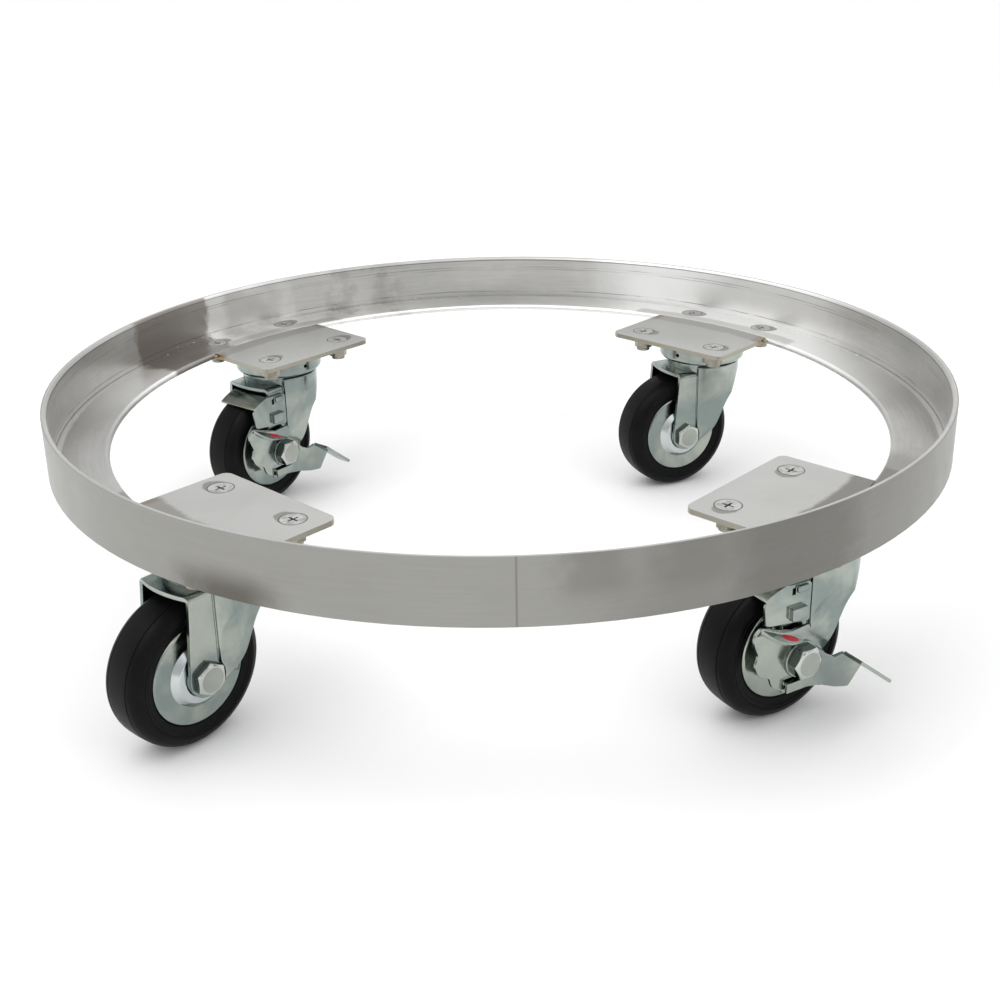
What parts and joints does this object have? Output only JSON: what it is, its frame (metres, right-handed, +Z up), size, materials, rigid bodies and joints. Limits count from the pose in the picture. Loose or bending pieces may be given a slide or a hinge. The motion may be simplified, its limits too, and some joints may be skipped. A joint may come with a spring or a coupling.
{
  "type": "drum dolly",
  "caption": "Round open drum dolly: an upright-rimmed steel angle ring with welded pad plates on swivel casters, some with foot brakes.",
  "frame": {"origin": "centre of the ring, on the floor under the wheels", "axes": "+Z up along the ring's axis; -Y is the front, between the two front casters"},
  "size_m": [0.6299, 0.63, 0.1695],
  "materials": {
    "stainless_ring": "mill-finish stainless, ground and lightly stained",
    "stainless_plate": "satin stainless plate",
    "stainless_fastener": "bright stainless",
    "zinc_steel": "bright zinc plating with a faint blue-green tint",
    "bearing_steel": "hardened and greased",
    "rubber_tyre": "smooth black moulded rubber"
  },
  "bodies": {
    "dolly_frame": {"ring_frame": "stainless_ring", "plate_screws": "stainless_fastener", "lock_nuts": "stainless_fastener", "kingpins": "zinc_steel", "lower_races": "bearing_steel", "pad_plate_front_left": "stainless_plate", "top_plate_front_left": "zinc_steel", "race_cup_front_left": "zinc_steel", "pad_plate_front_right": "stainless_plate", "top_plate_front_right": "zinc_steel", "race_cup_front_right": "zinc_steel", "pad_plate_rear_left": "stainless_plate", "top_plate_rear_left": "zinc_steel", "race_cup_rear_left": "zinc_steel", "pad_plate_rear_right": "stainless_plate", "top_plate_rear_right": "zinc_steel", "race_cup_rear_right": "zinc_steel"},
    "swivel_front_left": {"fork_front_left": "zinc_steel", "swivel_balls_front_left": "bearing_steel", "axle_bolt_front_left": "zinc_steel", "axle_nut_front_left": "zinc_steel", "axle_sleeve_front_left": "zinc_steel"},
    "wheel_front_left": {"tyre_front_left": "rubber_tyre", "outer_disc_front_left": "zinc_steel", "inner_disc_front_left": "zinc_steel", "hub_bush_front_left": "zinc_steel"},
    "swivel_front_right": {"fork_front_right": "zinc_steel", "swivel_balls_front_right": "bearing_steel", "axle_bolt_front_right": "zinc_steel", "axle_nut_front_right": "zinc_steel", "axle_sleeve_front_right": "zinc_steel", "lever_washer_front_right": "zinc_steel"},
    "wheel_front_right": {"tyre_front_right": "rubber_tyre", "outer_disc_front_right": "zinc_steel", "inner_disc_front_right": "zinc_steel", "hub_bush_front_right": "zinc_steel"},
    "lever_front_right": {"brake_lever_front_right": "zinc_steel"},
    "shoe_front_right": {"brake_shoe_front_right": "zinc_steel"},
    "swivel_rear_left": {"fork_rear_left": "zinc_steel", "swivel_balls_rear_left": "bearing_steel", "axle_bolt_rear_left": "zinc_steel", "axle_nut_rear_left": "zinc_steel", "axle_sleeve_rear_left": "zinc_steel", "lever_washer_rear_left": "zinc_steel"},
    "wheel_rear_left": {"tyre_rear_left": "rubber_tyre", "outer_disc_rear_left": "zinc_steel", "inner_disc_rear_left": "zinc_steel", "hub_bush_rear_left": "zinc_steel"},
    "lever_rear_left": {"brake_lever_rear_left": "zinc_steel"},
    "shoe_rear_left": {"brake_shoe_rear_left": "zinc_steel"},
    "swivel_rear_right": {"fork_rear_right": "zinc_steel", "swivel_balls_rear_right": "bearing_steel", "axle_bolt_rear_right": "zinc_steel", "axle_nut_rear_right": "zinc_steel", "axle_sleeve_rear_right": "zinc_steel"},
    "wheel_rear_right": {"tyre_rear_right": "rubber_tyre", "outer_disc_rear_right": "zinc_steel", "inner_disc_rear_right": "zinc_steel", "hub_bush_rear_right": "zinc_steel"}
  },
  "joints": [
    {"name": "swivel_turn_front_left", "type": "hinge", "parent": "dolly_frame", "child": "swivel_front_left", "pos_m": [-0.18208, -0.18208, 0.11], "axis": [0, 0, 1], "continuous": true},
    {"name": "wheel_spin_front_left", "type": "hinge", "parent": "swivel_front_left", "child": "wheel_front_left", "pos_m": [-0.20082, -0.20289, 0.0485], "axis": [-0.7431, 0.6691, 0], "continuous": true},
    {"name": "swivel_turn_front_right", "type": "hinge", "parent": "dolly_frame", "child": "swivel_front_right", "pos_m": [0.18208, -0.18208, 0.11], "axis": [0, 0, 1], "continuous": true},
    {"name": "wheel_spin_front_right", "type": "hinge", "parent": "swivel_front_right", "child": "wheel_front_right", "pos_m": [0.15736, -0.19523, 0.0485], "axis": [-0.4695, 0.8829, 0], "continuous": true},
    {"name": "brake_press_front_right", "type": "hinge", "parent": "swivel_front_right", "child": "lever_front_right", "pos_m": [0.15736, -0.19523, 0.0485], "axis": [-0.4695, 0.8829, 0], "range_deg": [0, 16]},
    {"name": "shoe_bite_front_right", "type": "hinge", "parent": "swivel_front_right", "child": "shoe_front_right", "pos_m": [0.1567, -0.19558, 0.0912], "axis": [0.4695, -0.8829, 0], "range_deg": [0, 3.2]},
    {"name": "swivel_turn_rear_left", "type": "hinge", "parent": "dolly_frame", "child": "swivel_rear_left", "pos_m": [-0.18208, 0.18208, 0.11], "axis": [0, 0, 1], "continuous": true},
    {"name": "wheel_spin_rear_left", "type": "hinge", "parent": "swivel_rear_left", "child": "wheel_rear_left", "pos_m": [-0.19989, 0.16048, 0.0485], "axis": [-0.7716, 0.6361, 0], "continuous": true},
    {"name": "brake_press_rear_left", "type": "hinge", "parent": "swivel_rear_left", "child": "lever_rear_left", "pos_m": [-0.19989, 0.16048, 0.0485], "axis": [-0.7716, 0.6361, 0], "range_deg": [0, 16]},
    {"name": "shoe_bite_rear_left", "type": "hinge", "parent": "swivel_rear_left", "child": "shoe_rear_left", "pos_m": [-0.20037, 0.1599, 0.0912], "axis": [0.7716, -0.6361, 0], "range_deg": [0, 3.2]},
    {"name": "swivel_turn_rear_right", "type": "hinge", "parent": "dolly_frame", "child": "swivel_rear_right", "pos_m": [0.18208, 0.18208, 0.11], "axis": [0, 0, 1], "continuous": true},
    {"name": "wheel_spin_rear_right", "type": "hinge", "parent": "swivel_rear_right", "child": "wheel_rear_right", "pos_m": [0.15631, 0.17114, 0.0485], "axis": [-0.3907, 0.9205, 0], "continuous": true}
  ],
  "couplings": [
    {"joint": "shoe_bite_front_right", "follows": "brake_press_front_right", "ratio": 0.2},
    {"joint": "shoe_bite_rear_left", "follows": "brake_press_rear_left", "ratio": 0.2}
  ]
}
